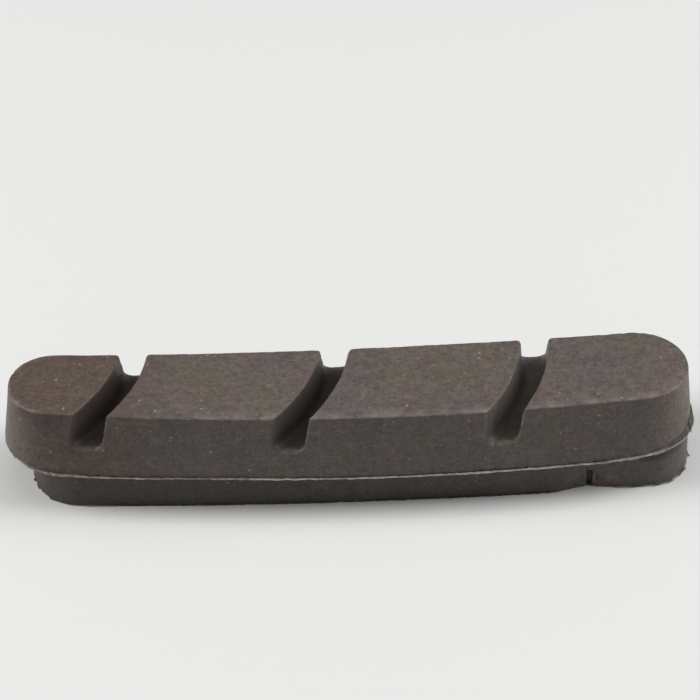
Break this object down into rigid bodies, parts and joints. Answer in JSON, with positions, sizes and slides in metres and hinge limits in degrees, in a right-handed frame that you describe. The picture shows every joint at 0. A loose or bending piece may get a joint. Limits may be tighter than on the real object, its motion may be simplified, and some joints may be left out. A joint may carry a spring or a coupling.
{
  "type": "brake pad",
  "caption": "Curved rim brake pad insert: drafted block of friction compound with curved cross grooves, on a rail that slides into a metal holder",
  "frame": {"origin": "middle of the underside of the rail, on the surface the pad rests on", "axes": "+X along the pad toward its wider end, -Y toward the convex side, +Z out of the friction face"},
  "size_m": [0.0552, 0.0128, 0.0094],
  "materials": {
    "compound": "matte"
  },
  "bodies": {
    "root": {"brake_pad": "compound"}
  },
  "joints": []
}
